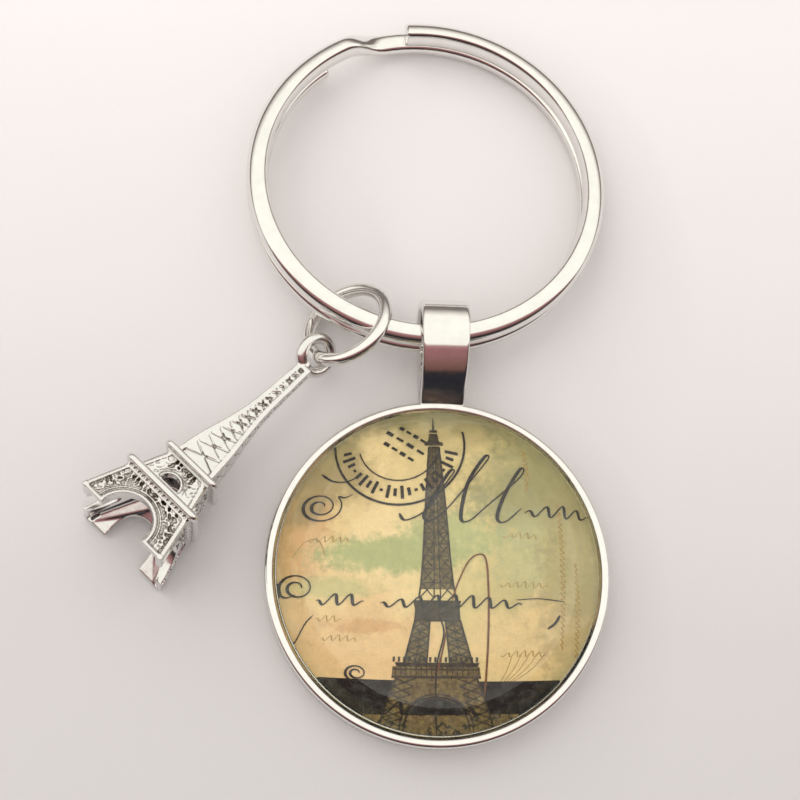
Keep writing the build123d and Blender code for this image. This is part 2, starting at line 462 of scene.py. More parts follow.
def build_jump_ring():
    low, high = box_mm("jump_ring")
    centre = (low + high) / 2
    wire_r = 0.55
    extent = [side / 2 - wire_r for side in (high - low)]
    radius = math.sqrt(sum(side * side for side in extent) / 2)
    lean = [math.sqrt(max(0.0, 1 - (side / radius) ** 2)) for side in extent]
    normal = Vector((-lean[0], lean[1], lean[2])).normalized()
    level = normal.cross(Z_DIR).normalized()
    uphill = normal.cross(level)
    if uphill.z < 0:
        uphill = -uphill
    side_dir = uphill.cross(normal)
    section = rounded_section(2 * wire_r, 2 * wire_r, wire_r * 0.999, 8)
    seam = 0.45
    stations = []
    for turned, scale in wire_places(360 - 2 * seam, 240, [(0.0, 0.9), (0.6, 1.0)]):
        turn = math.radians(seam + turned)
        outward = -uphill * math.cos(turn) + side_dir * math.sin(turn)
        stations.append((centre + outward * radius, outward, normal, scale))
    make_piece("jump_ring_wire", sweep(stations, section), ring_metal, "link", "jump_ring")


# ---------------------------------------------------------------- pendant

def build_tray():
    high = box_mm("bezel_tray")[1]
    floor_z = box_mm("back_film")[0].z
    outer = high.x
    wall = 0.8
    inner = outer - wall
    rim = wall / 2
    heel = 0.32
    nook = 0.12
    profile = [(0, 0.0), (outer - 0.9, 0.0)]
    profile += arc_points(outer - heel, heel, heel, -90, 0, 6)
    profile += [(outer - 0.02, 1.1)]
    profile += arc_points(outer - rim, high.z - rim, rim, 0, 180, 16)
    profile += [(inner, 1.2)]
    profile += arc_points(inner - nook, floor_z + nook, nook, 0, -90, 4)
    profile += [(0, floor_z)]
    make_piece("bezel_tray_cup", lathe(profile), cast_metal, "pendant", "bezel_tray", 50)


GIRDLE_H = 0.9
# How far glass and paper reach past their CAD discs, towards the tray's wall
GLASS_GROW = 0.17
PAPER_GROW = 0.15


def build_glass():
    low, high = box_mm("glass_cabochon")
    foot = low.z + 0.02
    foot_edge = 0.15
    radius = high.x + GLASS_GROW
    girdle = low.z + GIRDLE_H
    dome_h = high.z - girdle
    dome_r = (radius * radius + dome_h * dome_h) / (2 * dome_h)
    edge = math.degrees(math.asin(radius / dome_r))
    soft = 0.35
    profile = [(0, foot), (radius - foot_edge, foot), (radius, foot + foot_edge), (radius, girdle - soft)]
    dome = arc_points(0, high.z - dome_r, dome_r, 90 - edge, 90, 40)
    shoulder_start = Vector((radius, girdle - soft))
    shoulder_end = Vector(dome[1])
    corner = Vector((radius, girdle))
    for i in range(1, 8):
        t = i / 8
        point = shoulder_start * (1 - t) ** 2 + corner * 2 * t * (1 - t) + shoulder_end * t * t
        profile.append(tuple(point))
    profile += dome[1:-1] + [(0, high.z)]
    skin = lathe(profile, 256)
    make_piece("cabochon_dome", skin, glass_material, "pendant", "glass_cabochon", 60)


# ---------------------------------------------------------------- bail

# Circles are (y, z, radius): TIP ends the bore and TAIL ends the strap's outside
BAIL_FOOT_W = 3.5
BAIL_T = 0.75
BAIL_BORE_R = 2.1
BAIL_TIP = (15.6, 1.75, 0.16)
BAIL_TAIL_Y = 13.25
BAIL_TAIL = (BAIL_TAIL_Y + 0.7, 1.13, 1.0)
LEG_TOP_Y = 18.1
LEG_BOW = 0.24
LEG_OUT = Vector((-0.66, 0.75))
TAIL_LIFT = 0.2
TAIL_LOW_Z = 1.0


def hull_loop(centre, radius, tail, count):
    """Closed loop of (y, z) points round a circle and a small tail circle, evenly spaced."""
    gap = Vector((tail[0] - centre[0], tail[1] - centre[1]))
    lean = math.acos((radius - tail[2]) / gap.length)
    aim = math.atan2(gap.y, gap.x)
    start = math.degrees(aim + lean)
    outline = arc_points(centre[0], centre[1], radius, start, start + 360 - 2 * math.degrees(lean), 96)
    half = 180 - math.degrees(lean)
    behind = math.degrees(aim) - 180
    outline += arc_points(tail[0], tail[1], tail[2], behind + half, behind + 360 - half, 12)
    return even_loop([Vector(p) for p in outline], count)


def even_loop(points, count):
    """The closed loop resampled to equal steps."""
    lengths = [0.0]
    for i in range(len(points)):
        lengths.append(lengths[-1] + (points[(i + 1) % len(points)] - points[i]).length)
    out = []
    j = 0
    for i in range(count):
        want = lengths[-1] * i / count
        while lengths[j + 1] < want:
            j += 1
        share = (want - lengths[j]) / max(1e-9, lengths[j + 1] - lengths[j])
        out.append(points[j].lerp(points[(j + 1) % len(points)], share))
    return out


def build_bail():
    low, high = box_mm("bail")
    middle_x = (low.x + high.x) / 2
    top_w = high.x - low.x
    centre = (high.y - BAIL_BORE_R - BAIL_T, high.z - BAIL_BORE_R - BAIL_T)
    count = 200
    outer = hull_loop(centre, BAIL_BORE_R + BAIL_T, BAIL_TAIL, count)
    inner = hull_loop(centre, BAIL_BORE_R, BAIL_TIP, count)
    edge_r = 0.3
    verts = []
    corner = [math.radians(90 * i / 4) for i in range(5)]
    for out_point, in_point in zip(outer, inner):
        across = out_point - in_point
        thick = across.length
        share = (out_point.x - low.y) / (high.y - low.y)
        half = (BAIL_FOOT_W + (top_w - BAIL_FOOT_W) * share) / 2
        ring = []
        for side, outward, order in ((1, 1, 1), (-1, 1, -1), (-1, 0, 1), (1, 0, -1)):
            for turn in corner[::order]:
                x = side * (half - edge_r * (1 - math.cos(turn)))
                bow = edge_r * (1 - math.sin(turn)) / thick
                ring.append((x, 1 - bow if outward else bow))
        on_leg = min(1.0, max(0.0, (LEG_TOP_Y - out_point.x) / (LEG_TOP_Y - BAIL_TAIL_Y)))
        swell = LEG_BOW * math.sin(math.pi * on_leg) ** 2 + TAIL_LIFT * on_leg
        bow_out = LEG_OUT * (swell if out_point.y > TAIL_LOW_Z else 0.0)
        for x, f in ring:
            spot = in_point + (across + bow_out) * f
            verts.append(Vector((middle_x + x, spot.x, spot.y)))
    skin = (verts, tube_faces(count, len(verts) // count))
    make_piece("bail_strap", skin, cast_metal, "pendant", "bail", 50)


# ---------------------------------------------------------------- tower charm

HEADING = 46.6
TOWER_OFFSET = 0.22
BASE_HALF = 4.12
BASE_SLANT = 0.6
EYE_REACH = 20.8
EYE_R = 1.42
EYE_WIRE_R = 0.48
LEG_TOP = (3.45, 3.12)
MIDDLE = ((3.45, 2.85), (6.5, 2.1))
SPIRE = ((6.5, 1.9), (9.5, 1.55), (11.7, 1.14), (14.0, 0.82), (17.0, 0.68), (19.3, 0.63))
RECESS = 0.2
LEDGE_T = 0.8
SQUARE = ((1, 1), (-1, 1), (-1, -1), (1, -1))
SPIRE_RECESS = 0.27
WALL = 0.95
PLATE_EDGE = 0.16
TRIM_W = 0.36
BAR_TAPER = 0.7
# How fast the inside of the legs draws in, per height
LEG_DRAFT = 0.27
VOXEL = 0.065
DRAW = random.Random(SEED)


def tower_frame():
    """Base centre and the across, up and along directions of the charm."""
    eye, _ = joint_mm("charm_swing")
    heading = math.radians(HEADING)
    flare = (BASE_HALF - LEG_TOP[1]) / LEG_TOP[0]
    foot = BASE_HALF + BASE_SLANT * flare
    reach = EYE_REACH + BASE_SLANT
    drop = math.atan2(foot, reach) - math.asin(eye.z / math.hypot(reach, foot))
    along = Vector((math.cos(heading) * math.cos(drop), math.sin(heading) * math.cos(drop), -math.sin(drop)))
    across = Vector((math.sin(heading), -math.cos(heading), 0))
    up = across.cross(along)
    base = eye - along * EYE_REACH + across * TOWER_OFFSET
    return base, across, up, along


def between(place, start, end):
    """The value at a place on the straight line between two (place, value) points."""
    return start[1] + (end[1] - start[1]) * (place - start[0]) / (end[0] - start[0])


def half_width(s):
    """Half width of the tower's face at height s above its base."""
    if s <= LEG_TOP[0]:
        return between(s, (0, BASE_HALF), LEG_TOP)
    if s <= MIDDLE[1][0]:
        return between(s, *MIDDLE)
    for i in range(len(SPIRE) - 1):
        s0, w0 = SPIRE[i]
        s1, w1 = SPIRE[i + 1]
        if s <= s1:
            before = SPIRE[max(0, i - 1)]
            after = SPIRE[min(len(SPIRE) - 1, i + 2)]
            m0 = (w1 - before[1]) / (s1 - before[0])
            m1 = (after[1] - w0) / (after[0] - s0)
            t = (s - s0) / (s1 - s0)
            span = s1 - s0
            return (
                (2 * t**3 - 3 * t**2 + 1) * w0
                + (t**3 - 2 * t**2 + t) * span * m0
                + (3 * t**2 - 2 * t**3) * w1
                + (t**3 - t**2) * span * m1
            )
    return SPIRE[-1][1]


def on_face(side, s, t, out):
    """Local point (across, up, along) on one of the four faces: t sideways, out from the axis."""
    across, up = ((t, out), (out, -t), (-t, -out), (-out, t))[side]
    return Vector((across, up, s))


def base_line(side, t, out):
    """Height of the slanted base under a point of a face."""
    point = on_face(side, 0, t, out)
    return -BASE_SLANT * (BASE_HALF - point.y) / (2 * BASE_HALF)


class Solids:
    """Closed solids gathered into one mesh."""

    def __init__(self):
        self.verts = []
        self.faces = []

    def loft(self, rings):
        """Closed skin over rings of equal counts, capped at both ends."""
        start = len(self.verts)
        size = len(rings[0])
        for ring in rings:
            self.verts.extend(ring)
        self.faces += capped_faces(len(rings), size, start)

    def panel(self, side, outline, low, high, deepen=0.0):
        """Outline of (s, t) on a face, from low to high against the face; low sinks by deepen per height."""
        bottom = []
        top = []
        for s, t in outline:
            bottom.append(on_face(side, s, t * (1 - 0.5 * deepen), half_width(s) + low - deepen * s))
            top.append(on_face(side, s, t, half_width(s) + high))
        self.loft([bottom, top])

    def pillow(self, side, outline, low, high, inset, crown):
        """A panel drawn in by inset, with a softened top."""
        middle_s = sum(s for s, t in outline) / len(outline)
        middle_t = sum(t for s, t in outline) / len(outline)
        rings = []
        for shrink, level in ((inset, low), (inset, high - crown), (inset + 0.8 * crown, high)):
            ring = []
            for s, t in outline:
                reach = math.hypot(s - middle_s, t - middle_t)
                share = max(0.2, 1 - shrink * 1.3 / max(reach, 0.01))
                new_s = middle_s + (s - middle_s) * share
                new_t = middle_t + (t - middle_t) * share
                ring.append(on_face(side, new_s, new_t, half_width(new_s) + level))
            rings.append(ring)
        self.loft(rings)

    def bar(self, side, start, end, width, low, high, taper=BAR_TAPER):
        """A straight bar on a face from (s, t) to (s, t), narrower at its top."""
        run = Vector(end) - Vector(start)
        normal = Vector((-run.y, run.x)).normalized() * width / 2
        rings = []
        for level, share in ((low, 1.0), ((low + high) / 2, 0.95), (high, taper)):
            ring = []
            for point, sign in ((start, 1), (end, 1), (end, -1), (start, -1)):
                s = point[0] + normal.x * sign * share
                t = point[1] + normal.y * sign * share
                ring.append(on_face(side, s, t, half_width(s) + level))
            rings.append(ring)
        self.loft(rings)

    def rope(self, points, radius, steps=8):
        """A round bar along local points, closed at its ends."""
        rings = []
        for i, point in enumerate(points):
            ahead = points[min(i + 1, len(points) - 1)]
            behind = points[max(i - 1, 0)]
            aim = (ahead - behind).normalized()
            guide = Z_DIR if abs(aim.z) < 0.9 else X_DIR
            first = aim.cross(guide).normalized()
            second = aim.cross(first)
            rings.append(circle(point, first, second, radius, steps))
        self.loft(rings)

    def hoop(self, rings):
        """Closed skin over rings whose last meets the first."""
        self.faces += tube_faces(len(rings), len(rings[0]), len(self.verts))
        for ring in rings:
            self.verts.extend(ring)

    def collar(self, s, half, radius, corner):
        """A round bar right round the tower at height s."""
        rings = []
        for number, (cx, cy) in enumerate(SQUARE):
            for i in range(6):
                turn = math.radians(90 * number + 90 * i / 5)
                outward = Vector((math.cos(turn), math.sin(turn), 0))
                spot = Vector((cx * (half - corner), cy * (half - corner), s)) + outward * corner
                rings.append(circle(spot, outward, Z_DIR, radius, 10))
        self.hoop(rings)

    def bead(self, centre, radius):
        """A small ball."""
        rings = []
        for i in range(1, 6):
            lift = math.radians(-90 + 180 * i / 6)
            level = centre + Z_DIR * math.sin(lift) * radius
            rings.append(circle(level, X_DIR, Y_DIR, math.cos(lift) * radius, 8))
        self.loft(rings)

    def band(self, side, points, sign, width, low, high):
        """Bars from point to point along a line of (s, t), on the side of the face that sign says."""
        for (s0, t0), (s1, t1) in pairwise(points):
            self.bar(side, (s0, sign * t0), (s1, sign * t1), width, low, high)


def leg_plate(solids, side):
    """The lower part of one face: two legs joined above a round arch."""
    arch_r = 2.1
    arch_s = 0.25
    top = 3.6
    inside = half_width(0) - 0.5
    for sign in (1, -1):
        foot_t = sign * (half_width(0) - PLATE_EDGE)
        outline = [(base_line(side, foot_t, inside), foot_t)]
        outline += [(top, sign * (half_width(3.4) - PLATE_EDGE)), (top, 0)]
        outline += arc_points(arch_s, 0, arch_r, 0, sign * 90, 12)
        outline.append((base_line(side, sign * arch_r, inside), sign * arch_r))
        solids.panel(side, outline, -0.62, -RECESS, LEG_DRAFT)
        leg_trim(solids, side, sign, arch_r, arch_s)


def lattice_row(solids, side, sign, s, reach, spots, least_lean, low, highest):
    """Short raised bars at random leans, in one row at height s between two reaches from the middle."""
    inner, outer = reach
    for k in range(spots):
        t = sign * (inner + (outer - inner) * (k + 0.5) / spots + DRAW.uniform(-0.05, 0.05))
        lean = DRAW.choice((-1, 1)) * DRAW.uniform(least_lean, 1.1)
        half = DRAW.uniform(0.12, 0.2)
        run = Vector((half * math.cos(lean), half * math.sin(lean)))
        high = DRAW.uniform(-0.12, highest)
        solids.bar(side, Vector((s, t)) - run, Vector((s, t)) + run, 0.15, low, high, 0.5)


def leg_trim(solids, side, sign, arch_r, arch_s):
    """Raised border of a leg, the doubled arch band and a rough lattice between them."""
    low, high = -RECESS - 0.15, 0.0
    w0 = half_width(0)
    w1 = half_width(3.3)
    foot = base_line(side, sign * (w0 - 0.2), w0)
    inner_foot = base_line(side, sign * arch_r, w0)
    solids.bar(side, (foot, sign * (w0 - 0.17)), (3.4, sign * (w1 - 0.17)), TRIM_W, low, high)
    toe = (foot + 0.17, sign * (w0 - 0.05))
    heel = (inner_foot + 0.17, sign * (arch_r - 0.02))
    solids.bar(side, toe, heel, TRIM_W, low, high)
    for radius, width, top in ((arch_r + 0.15, 0.3, 0.0), (arch_r + 0.52, 0.13, -0.09)):
        arch = arc_points(arch_s, 0, radius, 0, 90, 10)
        arch.append((inner_foot + 0.1, radius))
        for (s0, t0), (s1, t1) in pairwise(arch):
            if max(s0, s1) < 3.42 and max(t0, t1) < half_width(min(s0, s1)) - 0.1:
                solids.bar(side, (s0, sign * t0), (s1, sign * t1), width * 1.02, low, top, 0.72)
    for i in range(13):
        s = 0.45 + 2.75 * i / 12 + DRAW.uniform(-0.08, 0.08)
        inner = max(0.15, math.sqrt(max(0.0, (arch_r + 0.72) ** 2 - (s - arch_s) ** 2)))
        outer = half_width(s) - 0.45
        if outer - inner < 0.25:
            continue
        spots = int((outer - inner) / 0.42) + 1
        lattice_row(solids, side, sign, s, (inner, outer), spots, 0.6, low, -0.06)


def middle_plate(solids, side):
    """The middle part of one face with its arched window and moulding."""
    window_r = 0.8
    sill = 4.62
    low = -WALL
    foot = 4.1
    top = 6.6
    for sign in (1, -1):
        outline = [(foot, 0), (foot, sign * (half_width(foot) - PLATE_EDGE))]
        outline += [(top, sign * (half_width(6.5) - PLATE_EDGE)), (top, 0)]
        outline += arc_points(sill, 0, window_r, 0, sign * 90, 10)
        outline.append((sill, 0.0001 * sign))
        solids.panel(side, outline, low, -RECESS)
        border = [(s, half_width(s) - 0.15) for s in (4.2, 6.5)]
        solids.band(side, border, sign, 0.32, low + 0.6, 0.0)
        solids.band(side, arc_points(sill, 0, window_r + 0.14, 0, 90, 8), sign, 0.24, low + 0.6, 0.02)
        for i in range(9):
            s = 4.75 + 1.6 * i / 8 + DRAW.uniform(-0.05, 0.05)
            clear_r = window_r + 0.42
            inner = math.sqrt(max(0.0, clear_r**2 - (s - sill) ** 2)) if s < sill + clear_r else 0.12
            outer = half_width(s) - 0.42
            spots = int(max(0.0, outer - inner) / 0.36)
            lattice_row(solids, side, sign, s, (inner, outer), spots, 0.5, low + 0.6, -0.05)


def spire_face(solids, side):
    """Border and crossed lattice of one face of the spire."""
    low = -RECESS - 0.1
    strip = 0.26
    marks = [7.1 + 12.2 * i / 22 for i in range(23)]
    for sign in (1, -1):
        for s0, s1 in pairwise(marks):
            start = (s0 - 0.02, sign * (half_width(s0) - strip / 2))
            end = (s1 + 0.02, sign * (half_width(s1) - strip / 2))
            solids.bar(side, start, end, strip, low - 0.1, 0.0, 0.72)
    solids.bar(side, (19.12, -0.5), (19.12, 0.5), 0.36, low - 0.1, 0.0, 0.75)
    cells = [7.55, 8.75, 9.85, 10.85, 11.75, 12.6, 13.4, 14.2]
    cells += [14.95, 15.7, 16.45, 17.15, 17.85, 18.5, 18.95]
    groove = 0.075
    top = -0.03
    for i, (s0, s1) in enumerate(pairwise(cells)):
        w0 = half_width(s0) - 0.3
        w1 = half_width(s1) - 0.3
        middle = (s0 + s1) / 2
        for sign in (1, -1):
            half_cell = [(s0, sign * w0), (s1, sign * w1), (middle, 0)]
            solids.pillow(side, half_cell, low - 0.1, top - 0.02, groove, 0.06)
        if i:
            before = (cells[i - 1] + s0) / 2
            diamond = [(before, 0), (s0, w0), (middle, 0), (s0, -w0)]
            solids.pillow(side, diamond, low - 0.1, top, groove, 0.07)


def ledges(solids):
    """Two ledges: a flat beaded band under a round bar on each."""
    for low, high, half, bar_s, bar_r in ((3.45, 4.2, 3.12, 4.0, 0.32), (6.5, 7.1, 2.2, 6.93, 0.27)):
        corners = ((low, -half), (high, -half), (high, half), (low, half))
        for side in range(4):
            outer = [on_face(side, s, t, half) for s, t in corners]
            inner = [on_face(side, s, t, half - LEDGE_T) for s, t in corners]
            solids.loft([inner, outer])
        solids.collar(bar_s, half + 0.2, bar_r, 0.3)
    for side in range(4):
        for i in range(15):
            solids.bead(on_face(side, 3.6, -3.0 + 6.0 * i / 14, 3.13), 0.15)
        for s, half, high in ((3.42, 3.1, 0.08), (6.52, 2.12, 0.14)):
            solids.bar(side, (s, -half), (s, half), 0.14, -0.3, high)


def spire_core(solids):
    rings = []
    for i in range(41):
        s = 6.4 + 12.9 * i / 40
        half = half_width(max(s, 6.51)) - SPIRE_RECESS
        rings.append([Vector((x * half, y * half, s)) for x, y in SQUARE])
    solids.loft(rings)
    cap = []
    for s, half in ((19.0, 0.62), (19.25, 0.63), (19.33, 0.57)):
        cap.append([Vector((x * half, y * half, s)) for x, y in SQUARE])
    solids.loft(cap)


def charm_eye(solids):
    """Neck and the ring-shaped eye, its hole turned half way between two faces."""
    base, across, up, along = tower_frame()
    eye, axis = joint_mm("charm_swing")
    local = Vector([(eye - base).dot(way) for way in (across, up, along)])
    hole = Vector([axis.dot(way) for way in (across, up, along)]).normalized()
    first = hole.cross(Z_DIR).normalized()
    second = hole.cross(first)
    rings = []
    for spot in circle(local, first, second, EYE_R, 48):
        rings.append(circle(spot, (spot - local).normalized(), hole, EYE_WIRE_R, 14))
    solids.hoop(rings)
    neck = []
    for share, height in ((0.3, 18.9), (0.6, 19.3), (1.0, 19.75)):
        neck.append(Vector((local.x * share, local.y * share, height)))
    solids.rope(neck, 0.55, 12)


def build_tower():
    solids = Solids()
    for side in range(4):
        leg_plate(solids, side)
        middle_plate(solids, side)
        spire_face(solids, side)
    ledges(solids)
    spire_core(solids)
    charm_eye(solids)
    piece = link("tower_charm_casting", new_mesh("tower_charm_casting", solids.verts, solids.faces))
    remesh = piece.modifiers.new("cast", "REMESH")
    remesh.mode = "VOXEL"
    remesh.voxel_size = VOXEL
    soften = piece.modifiers.new("soften", "SMOOTH")
    soften.factor = 0.5
    soften.iterations = 3
    apply_modifiers(piece)
    base, across, up, along = tower_frame()
    turn = Matrix((across, up, along)).transposed().to_4x4()
    piece.data.transform(Matrix.Scale(MM, 4) @ Matrix.Translation(base) @ turn)
    finish_piece(piece, charm_metal, "charm", "tower_charm", 0)


build_bail()
build_tower()

build_split_ring()
build_jump_ring()
build_tray()
build_glass()

# ---------------------------------------------------------------- printed picture

PRINT_SHIFT = -0.33
INK_Z = 0.012


def tone(red, green, blue):
    """Linear colour from the 0 to 255 values a screen would show."""
    out = []
    for value in (red, green, blue):
        value /= 255
        out.append(value / 12.92 if value <= 0.04045 else ((value + 0.055) / 1.055) ** 2.4)
    return tuple(out)


def distance(tree, x, y):
    return calc(tree, "SQRT", calc(tree, "ADD", calc(tree, "MULTIPLY", x, x), calc(tree, "MULTIPLY", y, y)))


def blot(tree, x, y, centre, size, wobble, soft):
    """Soft patch round a centre, in millimetres, with a ragged edge."""
    dx = calc(tree, "DIVIDE", calc(tree, "SUBTRACT", x, centre[0]), size[0])
    dy = calc(tree, "DIVIDE", calc(tree, "SUBTRACT", y, centre[1]), size[1])
    outside = rise(tree, calc(tree, "ADD", distance(tree, dx, dy), wobble), 1 - soft, 1 + soft)
    return calc(tree, "SUBTRACT", 1.0, outside)


PRINT_SHEEN = 0.06


def paper_material():
    """Aged paper: ochre on the left, olive above and to the right, a pale cloud and a dark rim."""
    material, tree, shader = new_material("vintage_paper")
    split = split_coords(tree)
    x = calc(tree, "MULTIPLY", split["X"], 1 / MM)
    y = calc(tree, "MULTIPLY_ADD", split["Y"], 1 / MM, -PRINT_SHIFT)
    cloud = noise(tree, 260, 5, 0.6)
    fine = noise(tree, 1300, 5, 0.65)
    grit = noise(tree, 9000, 3, 0.7)
    wobble = calc(tree, "MULTIPLY", calc(tree, "SUBTRACT", cloud, 0.5), 2.4)
    ragged = calc(tree, "MULTIPLY", calc(tree, "SUBTRACT", fine, 0.5), 1.6)
    drift = calc(tree, "ADD", x, calc(tree, "MULTIPLY", wobble, 2.5))
    colour = ramp(tree, calc(tree, "MULTIPLY_ADD", drift, 1 / 26, 0.5), [
        (0.0, tone(214, 166, 96)),
        (0.16, tone(236, 198, 128)),
        (0.36, tone(246, 212, 142)),
        (0.60, tone(222, 196, 122)),
        (0.78, tone(196, 172, 100)),
        (1.0, tone(186, 170, 112)),
    ])
    patches = (
        ((8.0, 6.5), (6.0, 4.5), tone(160, 152, 96), 0.85, ragged),
        ((8.6, 1.5), (5.0, 3.0), tone(198, 190, 124), 0.7, ragged),
        ((-6.0, -5.6), (6.5, 3.4), tone(234, 186, 118), 0.75, wobble),
        ((7.0, -5.0), (6.5, 3.6), tone(236, 196, 126), 0.8, wobble),
        ((-10.5, 4.0), (2.4, 5.0), tone(214, 150, 74), 0.55, ragged),
        ((-3.6, 1.3), (5.2, 1.3), tone(176, 180, 108), 0.9, ragged),
        ((0.8, 2.6), (3.4, 1.6), tone(184, 186, 116), 0.8, ragged),
        ((-8.0, -1.2), (3.4, 0.8), tone(190, 186, 112), 0.6, ragged),
        ((-5.4, -3.9), (2.6, 0.5), tone(206, 142, 70), 0.55, ragged),
        ((-9.5, 8.0), (4.5, 3.6), tone(150, 128, 72), 0.75, wobble),
        ((0.0, 12.4), (9.0, 2.6), tone(124, 112, 62), 0.85, wobble),
        ((0.0, 9.0), (5.0, 2.6), tone(226, 196, 124), 0.55, wobble),
        ((10.0, -1.0), (2.6, 8.0), tone(176, 152, 92), 0.55, ragged),
    )
    for centre, size, shade, share, edge in patches:
        mask = calc(tree, "MULTIPLY", blot(tree, x, y, centre, size, edge, 0.35), share)
        colour = blend_colour(tree, mask, colour, shade)
    speckle = ramp(tree, grit, [(0.30, 0.80), (0.62, 1.08)])
    colour = blend_colour(tree, 0.55, colour, speckle, "MULTIPLY")
    mottle = ramp(tree, fine, [(0.28, 0.78), (0.60, 1.05)])
    colour = blend_colour(tree, 0.6, colour, mottle, "MULTIPLY")
    rim = rise(tree, calc(tree, "ADD", distance(tree, x, y), calc(tree, "MULTIPLY", wobble, 0.4)), 10.2, 13.4)
    colour = blend_colour(tree, calc(tree, "MULTIPLY", rim, 0.5), colour, tone(150, 142, 92))
    rich = add(tree, "HueSaturation", Saturation=0.92, Value=1.14, Color=colour).outputs["Color"]
    rough = ramp(tree, fine, [(0.3, 0.5), (0.7, 0.7)])
    fill(tree, shader, Base_Color=rich, Roughness=rough, Normal=bump(tree, grit, 0.000004))
    fill(tree, shader, Specular_IOR_Level=PRINT_SHEEN)
    return material


def ink_material(name, dark, light, share):
    """Printing ink whose tone wanders between two shades."""
    material, tree, shader = new_material(name)
    patch = ramp(tree, noise(tree, 3200, 4, 0.7), [(share - 0.12, dark), (share + 0.15, light)])
    gloss = noise(tree, 9000, 2)
    rough = ramp(tree, gloss, [(0.3, 0.45), (0.7, 0.65)])
    fill(tree, shader, Base_Color=patch, Roughness=rough, Normal=bump(tree, gloss, 0.000003))
    fill(tree, shader, Specular_IOR_Level=PRINT_SHEEN)
    return material


class Ink:
    """Thin flat closed shapes in print millimetres, stacked just above the paper."""

    def __init__(self, level):
        self.verts = []
        self.faces = []
        self.level = level

    def shape(self, points):
        """A filled outline."""
        start = len(self.verts)
        size = len(points)
        for z in (0.0, INK_Z):
            self.verts.extend(Vector((x, y, self.level + z)) for x, y in points)
        self.faces.append(tuple(range(start + size - 1, start - 1, -1)))
        self.faces.append(tuple(range(start + size, start + 2 * size)))
        for j in range(size):
            k = (j + 1) % size
            self.faces.append((start + j, start + k, start + size + k, start + size + j))

    def stroke(self, points, widths):
        """A pen line; widths is one number or one per point."""
        if isinstance(widths, (int, float)):
            widths = [widths] * len(points)
        left, right = [], []
        for i, point in enumerate(points):
            ahead = Vector(points[min(i + 1, len(points) - 1)])
            behind = Vector(points[max(i - 1, 0)])
            aim = ahead - behind
            if aim.length < 1e-6:
                aim = Vector((1, 0))
            aim.normalize()
            side = Vector((-aim.y, aim.x)) * widths[i] / 2
            left.append(Vector(point) + side)
            right.append(Vector(point) - side)
        start = len(self.verts)
        for a, b in zip(left, right):
            for z in (0.0, INK_Z):
                self.verts.append(Vector((a.x, a.y, self.level + z)))
                self.verts.append(Vector((b.x, b.y, self.level + z)))
        count = len(points)
        for i in range(count - 1):
            a = start + 4 * i
            b = a + 4
            self.faces += [(a, a + 1, b + 1, b), (a + 2, b + 2, b + 3, a + 3)]
            self.faces += [(a, b, b + 2, a + 2), (a + 1, a + 3, b + 3, b + 1)]
        self.faces += [(start, start + 2, start + 3, start + 1)]
        last = start + 4 * (count - 1)
        self.faces += [(last, last + 1, last + 3, last + 2)]

    def build(self, name, material):
        """The shapes as one piece, kept inside the printed disc."""
        limit = box_mm("picture_disc")[1].x - 0.05
        verts = []
        for v in self.verts:
            flat = Vector((v.x, v.y + PRINT_SHIFT))
            if flat.length > limit:
                flat *= limit / flat.length
            verts.append((flat.x, flat.y, v.z))
        piece = make_piece(name, (verts, self.faces), material, "pendant", None, 0)
        piece.data.shade_flat()


def curve(points, per=10):
    """Smooth line through points."""
    out = []
    count = len(points)
    for i in range(count - 1):
        p0 = Vector(points[max(0, i - 1)])
        p1 = Vector(points[i])
        p2 = Vector(points[i + 1])
        p3 = Vector(points[min(count - 1, i + 2)])
        for k in range(per):
            t = k / per
            bend = (2 * p0 - 5 * p1 + 4 * p2 - p3) * t * t + (3 * p1 - p0 - 3 * p2 + p3) * t**3
            out.append(0.5 * ((2 * p1) + (p2 - p0) * t + bend))
    out.append(Vector(points[-1]))
    return out


def pen(ink, points, thin=0.07, thick=0.2, per=10):
    """A flourish whose down-strokes are thick and whose up-strokes are thin."""
    line = curve(points, per)
    widths = []
    for i in range(len(line)):
        step = line[min(i + 1, len(line) - 1)] - line[max(i - 1, 0)]
        press = max(0.0, -step.y) / max(step.length, 1e-6)
        ends = min(1.0, 0.35 + min(i, len(line) - 1 - i) / 6)
        widths.append((thin + (thick - thin) * press) * ends)
    ink.stroke(line, widths)


def waves(ink, x0, x1, y, height, pitch, draw, thin=0.06, thick=0.17, turn=False):
    """A plain leaning ripple that swells in the middle and dies away at both ends."""
    points = []
    steps = max(8, round((x1 - x0) / pitch * 8))
    phase = draw.uniform(0, math.pi)
    for i in range(steps + 1):
        t = i / steps
        sway = math.sin(2 * math.pi * (x1 - x0) / pitch * t + phase)
        lift = height * 0.5 * (0.35 + 0.65 * math.sin(math.pi * t)) * (1 + sway)
        points.append((x0 + (x1 - x0) * t + 0.45 * lift, y + lift))
    if turn:
        points = [(py, -px) for px, py in points]
    pen(ink, points, thin, thick, 2)


def spiral(ink, centre, small, large, rounds, thin, thick):
    """A flattened spiral that opens out to the right and ends in a short tail."""
    points = []
    steps = 40
    for i in range(steps + 1):
        t = i / steps
        turn = 2 * math.pi * rounds * t
        reach = small + (large - small) * t
        points.append((centre[0] + reach * math.cos(turn), centre[1] + 0.72 * reach * math.sin(turn)))
    end = Vector(points[-1])
    points.append((end.x + 0.5, end.y - 0.1))
    points.append((end.x + 1.1, end.y + 0.15))
    pen(ink, points, thin, thick, 3)


